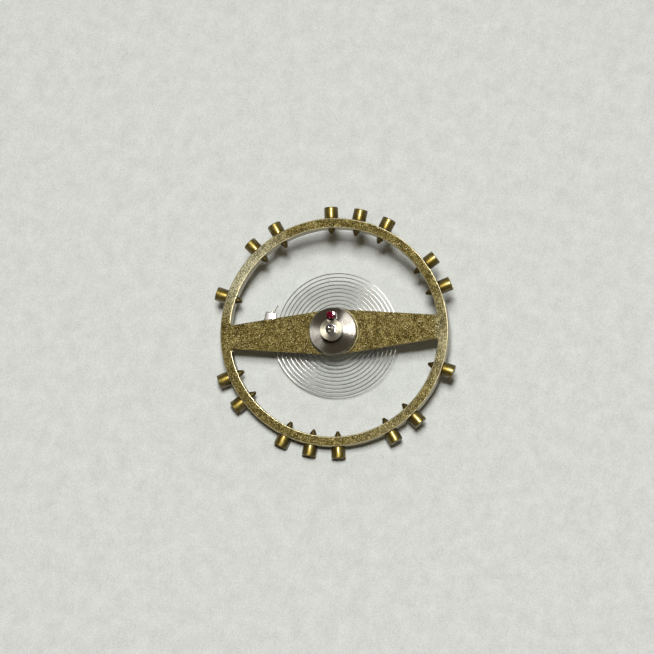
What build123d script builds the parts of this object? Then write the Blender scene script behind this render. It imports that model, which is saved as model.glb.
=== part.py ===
from build123d import *
import math
import os

# Balance of a pocket watch, roller side up: a two-armed ring with balance screws, its staff
# with the double roller and the impulse jewel, and the flat hairspring with its stud.
# Sizes are in millimetres and angles in degrees. The origin is the tip of the pivot on the
# hairspring side, +Z runs along the staff to the roller side, +X leads from the staff to the
# impulse jewel, and the arms lie along Y.

# Ring and arms
rim_diameter = 12.0
rim_width = 0.52
rim_height = 0.85
rim_edge_break = 0.03
arm_width_at_staff = 2.36
arm_width_at_rim = 1.12
arm_thickness = 0.375
boss_diameter = 2.64
boss_height = 0.10

# Balance screws: places are counted clockwise round the ring, as the roller side shows it,
# from the one beside the impulse jewel, and each is filled again straight across the ring.
# The slots lie about level: each leans from there by its own share of the slot lean.
screw_place_count = 26
filled_places = (0, 1, 2, 4, 5, 8, 10, 11)
first_screw_angle = -0.5
screw_head_diameter = 0.74
screw_head_length = 0.61
screw_shank_diameter = 0.42
screw_point_diameter = 0.12
screw_point_length = 0.28
screw_point_reach = 0.30
screw_slot_width = 0.14
screw_slot_depth = 0.20
screw_edge_break = 0.03
screw_slot_lean = 15
screw_slot_step = 137.5

# Staff, in lengths from the hairspring side to the roller side
pivot_diameter = 0.12
pivot_length = 0.30
pivot_rounding = 0.035
lower_shoulder_width = 0.17
lower_cone_length = 0.32
collet_seat_diameter = 0.84
collet_seat_length = 0.75
collet_stop_width = 0.10
neck_length = 0.45
rivet_width = 0.15
rivet_thickness = 0.08
wheel_seat_diameter = 1.10
hub_width = 0.40
hub_thickness = 0.125
roller_seat_diameter = 0.56
roller_seat_proud = 0.05
upper_shoulder_width = 0.07
upper_cone_length = 0.60

# Impulse roller, safety roller and impulse jewel
impulse_roller_diameter = 2.44
impulse_roller_thickness = 0.30
roller_edge_break = 0.025
roller_neck_wall = 0.15
roller_neck_length = 0.27
safety_roller_diameter = 1.14
safety_roller_height = 0.43
crescent_diameter = 0.56
crescent_depth = 0.11
jewel_diameter = 0.45
jewel_room = 0.025
jewel_flat_depth = 0.08
jewel_reach = 0.50
jewel_end_break = 0.025

# Collet
collet_diameter = 1.70
collet_height = 0.55
collet_edge_break = 0.04
collet_slit_width = 0.08

# Hairspring: radii are those of the middle of its blade, and angles run from +X towards +Y.
# It winds outwards clockwise as the roller side shows it.
blade_thickness = 0.045
blade_height = 0.20
coil_half_turns = 22
collet_coil_distance = 0.266
coils_end_radius = 3.327
coils_end_angle = 115
coil_stud_distance = 0.183
stud_point_angle = 74
spring_tail_length = 0.47
inner_bend_radius = 0.50
inner_end_length = 0.10

# Stud, and the pins that wedge the spring in it and in the collet
stud_head_length = 0.62
stud_head_outer_width = 0.34
stud_post_diameter = 0.48
stud_post_length = 0.50
stud_edge_break = 0.04
stud_wall = 0.09
pin_thick_diameter = 0.11
pin_thin_diameter = 0.09
pin_end_length = 0.12

# Clearances between pieces, and how far a cut runs past what it cuts
press_gap = 0.004
thread_gap = 0.010
jewel_gap = 0.008
spring_hole_gap = 0.030
cut_overrun = 0.50

# Heights on the staff
collet_seat_bottom = pivot_length + lower_cone_length
collet_seat_top = collet_seat_bottom + collet_seat_length
neck_top = collet_seat_top + neck_length
wheel_seat_bottom = neck_top + rivet_thickness
ring_top = wheel_seat_bottom + arm_thickness
hub_bottom = ring_top + boss_height
roller_bottom = hub_bottom + hub_thickness
roller_top = roller_bottom + impulse_roller_thickness
safety_roller_bottom = roller_top + roller_neck_length
safety_roller_top = safety_roller_bottom + safety_roller_height
roller_seat_top = safety_roller_top + roller_seat_proud
upper_pivot_bottom = roller_seat_top + upper_cone_length
staff_top = upper_pivot_bottom + pivot_length

# Radii and heights of the ring, the collet and the spring
rim_outer_radius = rim_diameter / 2
rim_inner_radius = rim_outer_radius - rim_width
rim_bottom = ring_top - rim_height
rim_middle = ring_top - rim_height / 2
jewel_centre_radius = (safety_roller_diameter + jewel_diameter) / 2 + jewel_room
collet_bore_radius = collet_seat_diameter / 2 + press_gap
collet_hole_radius = (collet_bore_radius + collet_diameter / 2) / 2
spring_middle = collet_seat_top - collet_height / 2
coils_start_radius = collet_diameter / 2 + collet_coil_distance
coil_pitch = 2 * (coils_end_radius - coils_start_radius) / coil_half_turns
stud_point_radius = coils_end_radius + coil_stud_distance

# The hole in the collet and in the stud holds the blade and its pin side by side, the blade
# nearer the staff
packed_width = blade_thickness + press_gap + pin_thick_diameter
blade_offset = (packed_width - blade_thickness) / 2
pin_offset = (packed_width - pin_thick_diameter) / 2
spring_hole_radius = math.hypot(packed_width, blade_height) / 2 + spring_hole_gap
stud_head_top = spring_hole_radius + stud_wall
stud_head_bottom = -stud_head_top


def place(radius, angle, height=0):
    """The point at a radius and an angle about the staff."""
    turn = math.radians(angle)
    return Vector(radius * math.cos(turn), radius * math.sin(turn), height)


def outline_point(radius, height):
    """A point of a half outline, drawn in the plane that holds the X and Z axes."""
    return Vector(radius, 0, height)


def revolved(outline):
    """The solid that an outline makes when it turns about the Z axis."""
    return revolve(make_face(outline), axis=Axis.Z)


def turned(points):
    """The solid of revolution whose half outline has straight sides through the points."""
    corners = [outline_point(radius, height) for radius, height in points]
    return revolved(Polyline(*corners, close=True))


def ring_body(inner, outer, bottom, top, edge_break):
    """A turned ring whose four edges are broken."""
    return turned([
        (inner + edge_break, bottom),
        (outer - edge_break, bottom),
        (outer, bottom + edge_break),
        (outer, top - edge_break),
        (outer - edge_break, top),
        (inner + edge_break, top),
        (inner, top - edge_break),
        (inner, bottom + edge_break),
    ])


def shaft(radius, bottom, top):
    """A plain cylinder on the Z axis between two heights."""
    return Pos(0, 0, bottom) * extrude(Circle(radius), top - bottom)


def lying_shaft(radius, middle, direction, length):
    """A plain cylinder about a middle point, along a level direction."""
    plane = Plane(origin=middle - direction * (length / 2), z_dir=direction)
    return extrude(plane * Circle(radius), length)


def wheel():
    """The ring, its two arms and the raised centre, with holes for the staff and the screws."""
    ring = ring_body(rim_inner_radius, rim_outer_radius, rim_bottom, ring_top, rim_edge_break)
    arm_reach = rim_inner_radius + rim_width / 2
    half_staff = arm_width_at_staff / 2
    half_rim = arm_width_at_rim / 2
    corners = [
        (half_rim, arm_reach),
        (half_staff, 0),
        (half_rim, -arm_reach),
        (-half_rim, -arm_reach),
        (-half_staff, 0),
        (-half_rim, arm_reach),
    ]
    arms_outline = make_face(Polyline(*corners, close=True))
    arms = Pos(0, 0, wheel_seat_bottom) * extrude(arms_outline, arm_thickness)
    boss_outline = arms_outline & Circle(boss_diameter / 2)
    boss = Pos(0, 0, wheel_seat_bottom) * extrude(boss_outline, arm_thickness + boss_height)
    solid = ring + arms + boss
    seat_radius = wheel_seat_diameter / 2 + press_gap
    solid -= shaft(seat_radius, wheel_seat_bottom - cut_overrun, hub_bottom + cut_overrun)
    hole_radius = screw_shank_diameter / 2 + thread_gap
    hole_length = rim_width + 2 * cut_overrun
    for angle in screw_angles():
        middle = place(arm_reach, angle, rim_middle)
        solid -= lying_shaft(hole_radius, middle, place(1, angle), hole_length)
    return solid


def screw_angles():
    """The angle of each filled screw place, once round the ring."""
    half_count = screw_place_count // 2
    places = [k + half for half in (0, half_count) for k in filled_places]
    return [first_screw_angle - 360 * k / screw_place_count for k in places]


def slot_turn(number):
    """How far the slot of a screw is turned from upright."""
    return 90 + screw_slot_lean * math.sin(math.radians(number * screw_slot_step))


def balance_screw(angle, turn):
    """One balance screw: a plain slotted head outside the ring, and a pointed end inside."""
    head_radius = screw_head_diameter / 2
    shank_radius = screw_shank_diameter / 2
    point_end = rim_inner_radius - screw_point_reach
    head_end = rim_outer_radius + screw_head_length
    solid = turned([
        (0, point_end),
        (screw_point_diameter / 2, point_end),
        (shank_radius, point_end + screw_point_length),
        (shank_radius, rim_outer_radius),
        (head_radius, rim_outer_radius),
        (head_radius, head_end - screw_edge_break),
        (head_radius - screw_edge_break, head_end),
        (0, head_end),
    ])
    slot_length = screw_head_diameter + cut_overrun
    slot = Pos(0, 0, head_end) * Box(slot_length, screw_slot_width, 2 * screw_slot_depth)
    solid -= Rot(0, 0, turn) * slot
    return Pos(0, 0, rim_middle) * Rot(0, 0, angle) * Rot(0, 90, 0) * solid


def trumpet(thin, thick):
    """The flare of a pivot: an arc that leaves the thin end in line with the staff."""
    spread = thick.X - thin.X
    rise = thick.Z - thin.Z
    radius = (spread ** 2 + rise ** 2) / (2 * spread)
    centre = thin + Vector(radius, 0, 0)
    middle = centre + ((thin + thick) / 2 - centre).normalized() * radius
    return ThreePointArc(thin, middle, thick)


def rounding(start, centre, end):
    """A quarter round from start to end about centre."""
    half_way = ((start + end) / 2 - centre).normalized() * pivot_rounding
    return ThreePointArc(start, centre + half_way, end)


def staff():
    """The staff: two pivots, the collet seat, the rivet and hub that grip the arms, and the
    seat of the rollers."""
    pivot_radius = pivot_diameter / 2
    tip_radius = pivot_radius - pivot_rounding
    low_flat = outline_point(tip_radius, 0)
    low_side = outline_point(pivot_radius, pivot_rounding)
    low_flare = outline_point(pivot_radius, pivot_length)
    cone_end = outline_point(collet_seat_diameter / 2 - lower_shoulder_width, collet_seat_bottom)
    high_cone = outline_point(roller_seat_diameter / 2 - upper_shoulder_width, roller_seat_top)
    high_flare = outline_point(pivot_radius, upper_pivot_bottom)
    high_side = outline_point(pivot_radius, staff_top - pivot_rounding)
    high_flat = outline_point(tip_radius, staff_top)
    collet_seat = collet_seat_diameter / 2
    neck = collet_seat + collet_stop_width
    wheel_seat = wheel_seat_diameter / 2
    rivet = wheel_seat + rivet_width
    hub = wheel_seat + hub_width
    roller_seat = roller_seat_diameter / 2
    steps = [
        (collet_seat, collet_seat_bottom),
        (collet_seat, collet_seat_top),
        (neck, collet_seat_top),
        (neck, neck_top),
        (rivet, neck_top),
        (rivet, wheel_seat_bottom),
        (wheel_seat, wheel_seat_bottom),
        (wheel_seat, hub_bottom),
        (hub, hub_bottom),
        (hub, roller_bottom),
        (roller_seat, roller_bottom),
        (roller_seat, roller_seat_top),
    ]
    step_points = [outline_point(radius, height) for radius, height in steps]
    outline = Polyline(outline_point(0, 0), low_flat)
    outline += rounding(low_flat, outline_point(tip_radius, pivot_rounding), low_side)
    outline += Line(low_side, low_flare)
    outline += trumpet(low_flare, cone_end)
    outline += Polyline(cone_end, *step_points, high_cone)
    outline += trumpet(high_flare, high_cone)
    outline += Line(high_flare, high_side)
    high_centre = outline_point(tip_radius, staff_top - pivot_rounding)
    outline += rounding(high_side, high_centre, high_flat)
    outline += Polyline(high_flat, outline_point(0, staff_top), outline_point(0, 0))
    return revolved(outline)


def jewel_outline(gap):
    """The D of the impulse jewel, flat on the side away from the staff, grown by a gap."""
    radius = jewel_diameter / 2 + gap
    flat = jewel_diameter / 2 - jewel_flat_depth + gap
    keep = Pos(flat - radius, 0, 0) * Rectangle(2 * radius, 2 * radius)
    return Pos(jewel_centre_radius, 0, 0) * (Circle(radius) & keep)


def impulse_roller():
    """The large roller: a polished disc on a neck, with a hole for the jewel."""
    outer = impulse_roller_diameter / 2
    bore = roller_seat_diameter / 2 + press_gap
    neck = bore + roller_neck_wall
    solid = turned([
        (bore, roller_bottom),
        (outer - roller_edge_break, roller_bottom),
        (outer, roller_bottom + roller_edge_break),
        (outer, roller_top - roller_edge_break),
        (outer - roller_edge_break, roller_top),
        (neck, roller_top),
        (neck, safety_roller_bottom),
        (bore, safety_roller_bottom),
    ])
    hole_height = impulse_roller_thickness + 2 * cut_overrun
    hole = extrude(jewel_outline(jewel_gap), hole_height)
    return solid - Pos(0, 0, roller_bottom - cut_overrun) * hole


def safety_roller():
    """The small roller, with the crescent that lets the guard pin pass."""
    outer = safety_roller_diameter / 2
    bore = roller_seat_diameter / 2 + press_gap
    body = ring_body(bore, outer, safety_roller_bottom, safety_roller_top, roller_edge_break)
    crescent_radius = crescent_diameter / 2
    cut = shaft(crescent_radius, safety_roller_bottom - cut_overrun, safety_roller_top + cut_overrun)
    return body - Pos(outer + crescent_radius - crescent_depth, 0, 0) * cut


def impulse_jewel():
    """The ruby that takes the impulse: a D-shaped rod that stands up through the roller."""
    length = impulse_roller_thickness + jewel_reach
    rod = Pos(0, 0, roller_bottom) * extrude(jewel_outline(0), length)
    end_edges = rod.edges().group_by(Axis.Z)[-1]
    return chamfer(end_edges, jewel_end_break)


class SpringPath:
    """The middle line of the hairspring seen from the roller side: one straight run through
    the collet, then arcs that all turn clockwise."""

    def __init__(self):
        outward = place(1, coils_end_angle)
        self.arcs = []
        self.add_collet_end(outward)
        self.add_coils(outward)
        self.add_stud_end(outward)

    def add_arc(self, centre, start, end_angle):
        """An arc about centre, clockwise from start to the given angle."""
        spoke = start - centre
        start_angle = math.degrees(math.atan2(spoke.Y, spoke.X))
        sweep = (start_angle - end_angle) % 360
        self.arcs.append((centre, spoke.length, start_angle, sweep))

    def add_collet_end(self, outward):
        """The straight run through the collet and the bend that leads out of it."""
        line_distance = collet_hole_radius - blade_offset
        centre = outward * (coils_start_radius - inner_bend_radius)
        bend = math.acos((line_distance - inner_bend_radius) / centre.length)
        spoke_angle = coils_end_angle + math.degrees(bend)
        self.collet_angle = spoke_angle
        self.collet_heading = place(1, spoke_angle + 90)
        bend_start = centre + place(inner_bend_radius, spoke_angle)
        hole_half_length = math.sqrt((collet_diameter / 2) ** 2 - line_distance ** 2)
        foot = place(line_distance, spoke_angle)
        inner_end = foot + self.collet_heading * (hole_half_length + inner_end_length)
        self.straight = (inner_end, bend_start)
        self.add_arc(centre, bend_start, coils_end_angle)

    def add_coils(self, outward):
        """The even coils: half turns about two centres, each wider than the last."""
        for number in range(coil_half_turns):
            side = 1 if number % 2 == 0 else -1
            radius = coils_start_radius + coil_pitch / 4 + number * coil_pitch / 2
            centre = outward * (-side * coil_pitch / 4)
            start = centre + outward * (side * radius)
            angle = coils_end_angle if side == 1 else coils_end_angle + 180
            self.add_arc(centre, start, angle - 180)

    def add_stud_end(self, outward):
        """Two arcs that lead out to the stud, the second running on to the loose tail."""
        start = outward * coils_end_radius
        end = place(stud_point_radius, stud_point_angle)
        start_heading = place(1, coils_end_angle - 90)
        end_heading = place(1, stud_point_angle - 90)
        across = end - start
        headings = start_heading + end_heading
        spare = 2 * (1 - start_heading.dot(end_heading))
        slope = across.dot(headings)
        reach = (math.sqrt(slope ** 2 + spare * across.dot(across)) - slope) / spare
        middle = (start + end + (start_heading - end_heading) * reach) / 2
        half = middle - start
        radius = -half.dot(half) / (2 * half.dot(outward))
        centre = start - outward * radius
        spoke = middle - centre
        self.add_arc(centre, start, math.degrees(math.atan2(spoke.Y, spoke.X)))
        inward = place(-1, stud_point_angle)
        half = middle - end
        radius = half.dot(half) / (2 * half.dot(inward))
        centre = end + inward * radius
        tail_turn = math.degrees((stud_head_length / 2 + spring_tail_length) / radius)
        self.add_arc(centre, middle, stud_point_angle - tail_turn)

    def side(self, distance):
        """The edges of one side of the blade, distance outside the middle line."""
        away = place(distance, self.collet_angle)
        edges = [Line(self.straight[0] + away, self.straight[1] + away)]
        for centre, radius, start_angle, sweep in self.arcs:
            edges.append(CenterArc(centre, radius + distance, start_angle, -sweep))
        return edges

    def points(self, step):
        """Points of the middle line, each with the turn that leads to it, about step apart."""
        found = [(0, self.straight[0])]
        turned_so_far = 0
        for centre, radius, start_angle, sweep in self.arcs:
            count = math.ceil(math.radians(sweep) * radius / step)
            for number in range(count + 1):
                turn = sweep * number / count
                found.append((turned_so_far + turn, centre + place(radius, start_angle - turn)))
            turned_so_far += sweep
        return found

    def least_gap(self):
        """The least gap between one stretch of the blade and another half a turn on."""
        points = self.points(2 * blade_height)
        gaps = []
        for number, (turn, point) in enumerate(points):
            for later_turn, later in points[number + 1:]:
                if later_turn - turn > 180:
                    gaps.append((later - point).length)
        return min(gaps) - blade_thickness


def hairspring(path):
    """The flat spiral spring, one unbroken blade from the collet to its tail past the stud."""
    half = blade_thickness / 2
    outside = path.side(half)
    inside = path.side(-half)
    start = Line(inside[0] @ 0, outside[0] @ 0)
    end = Line(outside[-1] @ 1, inside[-1] @ 1)
    face = make_face(outside + [end] + inside + [start])
    return Pos(0, 0, spring_middle - blade_height / 2) * extrude(face, blade_height)


def taper_pin(middle, direction, length):
    """A taper pin about its middle, thin end first along its direction."""
    pin = turned([
        (0, -length / 2),
        (pin_thick_diameter / 2, -length / 2),
        (pin_thin_diameter / 2, length / 2),
        (0, length / 2),
    ])
    return Plane(origin=middle, z_dir=direction).location * pin


def collet(path):
    """The slit ring that grips the staff and holds the inner end of the spring."""
    body = ring_body(
        collet_bore_radius,
        collet_diameter / 2,
        collet_seat_top - collet_height,
        collet_seat_top,
        collet_edge_break,
    )
    middle = place(collet_hole_radius, path.collet_angle, spring_middle)
    body -= lying_shaft(spring_hole_radius, middle, path.collet_heading, collet_diameter)
    slit_reach = collet_diameter / 2 + cut_overrun
    slit_box = Box(slit_reach, collet_slit_width, 2 * collet_height)
    slit = Pos(slit_reach / 2, 0, spring_middle) * slit_box
    return body - Rot(0, 0, path.collet_angle + 180) * slit


def collet_pin(path):
    """The pin that wedges the spring in the collet, on the side away from the staff."""
    middle = place(collet_hole_radius + pin_offset, path.collet_angle, spring_middle)
    chord = 2 * math.sqrt((collet_diameter / 2) ** 2 - collet_hole_radius ** 2)
    return taper_pin(middle, path.collet_heading, chord + 2 * pin_end_length)


def stud_axis_radius():
    """How far the axis of the stud lies from that of the staff."""
    return stud_point_radius + blade_offset


def stud():
    """The stud: a square head with a hole for the spring, on a round post that goes into the
    balance cock. X leads away from the staff until the stud is set in its place."""
    inner_width = spring_hole_radius + stud_wall
    head_width = inner_width + stud_head_outer_width
    head_middle = (stud_head_outer_width - inner_width) / 2
    head_height = stud_head_top - stud_head_bottom
    head = Pos(head_middle, 0, 0) * Box(head_width, stud_head_length, head_height)
    sharp_edges = head.edges().filter_by(Axis.Z) + head.edges().group_by(Axis.Z)[-1]
    head = chamfer(sharp_edges, stud_edge_break)
    post = stud_post_diameter / 2
    bottom = stud_head_bottom - stud_post_length
    body = head + turned([
        (0, bottom),
        (post - stud_edge_break, bottom),
        (post, bottom + stud_edge_break),
        (post, stud_head_bottom),
        (0, stud_head_bottom),
    ])
    hole_length = stud_head_length + 2 * cut_overrun
    body -= lying_shaft(spring_hole_radius, Vector(0, 0, 0), Vector(0, 1, 0), hole_length)
    axis = place(stud_axis_radius(), stud_point_angle, spring_middle)
    return Pos(*axis) * Rot(0, 0, stud_point_angle) * body


def stud_pin():
    """The pin that wedges the spring in the stud, on the side away from the staff."""
    middle = place(stud_axis_radius() + pin_offset, stud_point_angle, spring_middle)
    heading = place(1, stud_point_angle + 90)
    return taper_pin(middle, heading, stud_head_length + 2 * pin_end_length)


def write(name, solid):
    export_step(solid, "parts/" + name + ".step")


os.makedirs("parts", exist_ok=True)
spring_path = SpringPath()
write("balance_wheel", wheel())
for number, screw_angle in enumerate(screw_angles()):
    screw_name = f"balance_screw_{number + 1:02d}"
    write(screw_name, balance_screw(screw_angle, slot_turn(number)))
write("balance_staff", staff())
write("impulse_roller", impulse_roller())
write("safety_roller", safety_roller())
write("impulse_jewel", impulse_jewel())
write("hairspring", hairspring(spring_path))
write("collet", collet(spring_path))
write("collet_pin", collet_pin(spring_path))
write("hairspring_stud", stud())
write("stud_pin", stud_pin())
print(f"hairspring: least gap to itself {spring_path.least_gap():.3f} mm")
print(f"staff: total length {staff_top:.3f} mm, ring from {rim_bottom:.3f} to {ring_top:.3f} mm")
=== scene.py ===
import math

import bmesh
import bpy
from mathutils import Matrix, Vector

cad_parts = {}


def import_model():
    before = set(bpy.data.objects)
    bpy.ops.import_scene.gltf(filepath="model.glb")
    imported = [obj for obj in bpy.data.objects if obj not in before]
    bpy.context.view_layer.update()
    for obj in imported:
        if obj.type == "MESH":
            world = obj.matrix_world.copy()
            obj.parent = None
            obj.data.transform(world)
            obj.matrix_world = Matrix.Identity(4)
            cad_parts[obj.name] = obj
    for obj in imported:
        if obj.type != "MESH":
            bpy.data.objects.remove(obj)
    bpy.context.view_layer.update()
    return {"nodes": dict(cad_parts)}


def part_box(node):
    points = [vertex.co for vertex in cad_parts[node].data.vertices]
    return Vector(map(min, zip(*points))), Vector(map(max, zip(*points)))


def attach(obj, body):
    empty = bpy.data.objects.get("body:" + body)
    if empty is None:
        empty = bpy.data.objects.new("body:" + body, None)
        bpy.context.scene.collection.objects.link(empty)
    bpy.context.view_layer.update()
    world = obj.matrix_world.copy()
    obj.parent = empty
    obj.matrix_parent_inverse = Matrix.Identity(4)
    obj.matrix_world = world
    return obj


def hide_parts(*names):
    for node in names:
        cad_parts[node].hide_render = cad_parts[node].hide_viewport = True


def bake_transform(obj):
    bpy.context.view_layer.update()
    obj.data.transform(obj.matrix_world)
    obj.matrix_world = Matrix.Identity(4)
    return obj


# Looks of a pocket watch's balance: brass ring and screws, polished steel staff and rollers, a
# ruby, and the flat hairspring with its stud. Lengths are in metres, written in millimetres
# times MM, and angles are in degrees. The frame has Z along the staff, from the hairspring side
# to the roller side, and X from the staff to the impulse jewel. The arms lie along Y.
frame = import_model()
MM = 0.001

# Ring and arms
ring_low, ring_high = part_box("balance_wheel")
rim_radius = ring_high.x
rim_width = 0.52 * MM
rim_bottom = ring_low.z
boss_top = ring_high.z
boss_height = 0.10 * MM
boss_radius = 1.32 * MM
arm_thickness = 0.375 * MM
arm_half_width_at_staff = 1.18 * MM
arm_half_width_at_rim = 0.56 * MM
arm_corner_round = 0.12 * MM
seat_radius = 0.554 * MM
ring_edge_round = 0.05 * MM
arm_edge_round = 0.025 * MM
boss_edge_round = 0.045 * MM

# Balance screws: places are counted clockwise round the ring from the one beside the jewel, and
# each is filled again straight across the ring. The slots lie about level: each leans from there
# by its own share of the slot lean.
screw_place_count = 26
filled_places = (0, 1, 2, 4, 5, 8, 10, 11)
first_screw_angle = -0.5
screw_head_radius = 0.37 * MM
screw_head_length = 0.61 * MM
screw_shank_radius = 0.21 * MM
screw_tip_radius = 0.06 * MM
screw_cone_length = 0.28 * MM
screw_reach = 0.30 * MM
screw_slot_width = 0.14 * MM
screw_slot_depth = 0.20 * MM
screw_slot_lean = 15
screw_slot_step = 137.5
screw_edge_round = 0.05 * MM
thread_pitch = 0.075 * MM
thread_depth = 0.016 * MM
crest_start_share = 0.45
crest_end_share = 0.60

# Staff, from the pivot on the hairspring side up
pivot_radius = 0.06 * MM
pivot_length = 0.30 * MM
pivot_edge_round = 0.045 * MM
lower_cone_radius = 0.25 * MM
lower_flare_share = 0.96
collet_seat_bottom = 0.62 * MM
collet_seat_top = 1.37 * MM
collet_seat_radius = 0.42 * MM
neck_top = 1.82 * MM
neck_radius = 0.52 * MM
rivet_radius = 0.70 * MM
wheel_seat_radius = 0.55 * MM
hub_radius = 0.95 * MM
roller_seat_top = 3.55 * MM
roller_seat_radius = 0.28 * MM
upper_cone_radius = 0.21 * MM
staff_edge_round = 0.018 * MM

# Rollers and jewel
impulse_roller_radius = 1.22 * MM
impulse_roller_thickness = 0.30 * MM
roller_neck_radius = 0.434 * MM
roller_bore_radius = 0.284 * MM
safety_roller_radius = 0.57 * MM
crescent_radius = 0.28 * MM
crescent_depth = 0.11 * MM
jewel_radius = 0.225 * MM
jewel_flat_distance = 0.145 * MM
jewel_place = 0.82 * MM
jewel_hole_gap = 0.008 * MM
roller_edge_round = 0.022 * MM

# Collet
collet_radius = 0.85 * MM
collet_bore_radius = 0.424 * MM
collet_hole_distance = 0.637 * MM
collet_slit_width = 0.08 * MM
collet_edge_round = 0.03 * MM
spring_hole_radius = 0.158 * MM

# Hairspring, wound as the solid is: radii are those of the blade's middle
blade_thickness = 0.036 * MM
blade_height = 0.16 * MM
blade_edge_round = 0.006 * MM
coil_half_turns = 22
coils_start_radius = 1.116 * MM
coils_end_radius = 3.327 * MM
coils_end_angle = 115
stud_point_radius = 3.51 * MM
stud_point_angle = 74
inner_bend_radius = 0.50 * MM
inner_end_length = 0.10 * MM
blade_offset = 0.057 * MM
pin_offset = 0.0245 * MM
tail_length = 0.78 * MM
spring_step = 0.06 * MM

# Stud and pins
stud_head_length = 0.62 * MM
stud_head_inner_width = 0.248 * MM
stud_head_outer_width = 0.34 * MM
stud_post_radius = 0.24 * MM
stud_post_length = 0.50 * MM
stud_edge_round = 0.04 * MM
pin_thick_radius = 0.055 * MM
pin_thin_radius = 0.045 * MM
pin_end_length = 0.12 * MM
pin_round_share = 0.25

# Edges that turn by more than the first angle are rounded, and by more than the second drawn
# sharp. A rounded corner takes no more than its share of either side. Cuts run past what they cut.
rounded_angle = 35
sharp_angle = 40
corner_side_share = 0.45
cut_overrun = 0.1 * MM

# The photograph: its width in pixels, its scale at the top of the ring, and where the middle of
# the ring lies in it
photo_width = 654
photo_scale = 0.0522 * MM
photo_centre = (333.8, 331.8)
camera_distance = 200 * MM
camera_azimuth = -42.5
camera_elevation = 80.4
camera_up_angle = -2.2
camera_clip_start = 10 * MM
camera_clip_end = 10000 * MM

# The window's light: angles off the camera's line, upwards and sideways, and powers in watts
lamp_distance = 250 * MM
window_low_angle = 10.5
window_high_angle = 27
near_edge_angle = 15.5
window_side_angles = (-6.5, 3.0)
window_power = 0.41
near_edge_power = 0.19
window_colour = (1.0, 0.99, 0.97)

# The paper rises from the pivot's tip towards the middle of the two heads that lie on it, which
# fill the screw places on both sides of this one
paper_contact_place = 14.5
paper_rise_angle = first_screw_angle - 360 * paper_contact_place / screw_place_count
paper_contact_least = 1 * MM
paper_half_width = 500 * MM
backdrop_colour = (0.66, 0.68, 0.63)
fade_start = 30 * MM
fade_end = 90 * MM

# Where the ring's top is painted paler as a painted highlight, standing in for the window's
# sheen: angles about the staff with how strongly, and how far it reaches
painted_highlight_places = ((52, 1.0), (-98, 0.36), (-150, 0.14))
painted_highlight_reach = 3.0 * MM

# The colour of the upright walls of lapped pieces
wall_colour = (0.46, 0.45, 0.43)

# Heights and radii of the ring and the arms
ring_top = boss_top - boss_height
arm_bottom = ring_top - arm_thickness
screw_middle = rim_bottom + (ring_top - rim_bottom) / 2
rim_inner_radius = rim_radius - rim_width
rim_middle_radius = rim_radius - rim_width / 2
arm_slope = (arm_half_width_at_staff - arm_half_width_at_rim) / rim_middle_radius
screw_head_end = rim_radius + screw_head_length

# The spring's inner end runs straight through the collet, square to the spoke at this angle,
# and bends from there into the coils
spring_low, spring_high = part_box("hairspring")
spring_middle = (spring_low.z + spring_high.z) / 2
inner_line_distance = collet_hole_distance - blade_offset
bend_centre_distance = coils_start_radius - inner_bend_radius
bend_cosine = (inner_line_distance - inner_bend_radius) / bend_centre_distance
inner_bend = math.degrees(math.acos(bend_cosine))
collet_spoke = coils_end_angle + inner_bend


def place(radius, angle, height=0.0):
    """The point at a radius and an angle about the staff."""
    turn = math.radians(angle)
    return Vector((radius * math.cos(turn), radius * math.sin(turn), height))


# Mesh helpers

def new_piece(name, mesh):
    """A new object of a mesh, shown in the scene."""
    piece = bpy.data.objects.new(name, mesh)
    bpy.context.scene.collection.objects.link(piece)
    return piece


def softened(outline, size, steps=3):
    """An open outline whose corners are rounded over at most size along each side."""
    points = [outline[0]]
    for before, corner, after in zip(outline, outline[1:], outline[2:]):
        before, corner, after = Vector(before), Vector(corner), Vector(after)
        to_start = before - corner
        to_end = after - corner
        start = corner + to_start * min(size / to_start.length, corner_side_share)
        end = corner + to_end * min(size / to_end.length, corner_side_share)
        for number in range(steps + 1):
            t = number / steps
            points.append(start * (1 - t) ** 2 + corner * 2 * t * (1 - t) + end * t ** 2)
    points.append(outline[-1])
    return [tuple(point) for point in points]


def softened_loop(outline, size, steps=4):
    """A closed outline with all its corners rounded."""
    return softened(outline + outline[:2], size, steps)[1:-1]


def ring_section(inner, outer, bottom, top):
    """The section of a plain ring about Z, as a closed outline of (radius, height) points."""
    return [(inner, bottom), (outer, bottom), (outer, top), (inner, top)]


def lathe(name, outline, segments=128):
    """A body turned about Z from an outline of (radius, height) points. It starts and ends on
    the axis, or is closed when it never meets the axis."""
    mesh = bmesh.new()
    rings = []
    for radius, height in outline:
        if radius == 0:
            rings.append([mesh.verts.new((0, 0, height))])
            continue
        ring = []
        for number in range(segments):
            turn = math.tau * number / segments
            ring.append(mesh.verts.new((radius * math.cos(turn), radius * math.sin(turn), height)))
        rings.append(ring)
    closed = len(rings[0]) > 1
    pairs = list(zip(rings, rings[1:]))
    if closed:
        pairs.append((rings[-1], rings[0]))
    for low, high in pairs:
        for number in range(segments):
            after = (number + 1) % segments
            if len(low) == 1:
                mesh.faces.new((low[0], high[after], high[number]))
            elif len(high) == 1:
                mesh.faces.new((low[number], low[after], high[0]))
            else:
                mesh.faces.new((low[number], low[after], high[after], high[number]))
    return finished(name, mesh)


def cylinder(name, radius, bottom, top, segments=96):
    """An upright cylinder about Z."""
    return lathe(name, [(0, bottom), (radius, bottom), (radius, top), (0, top)], segments)


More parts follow.
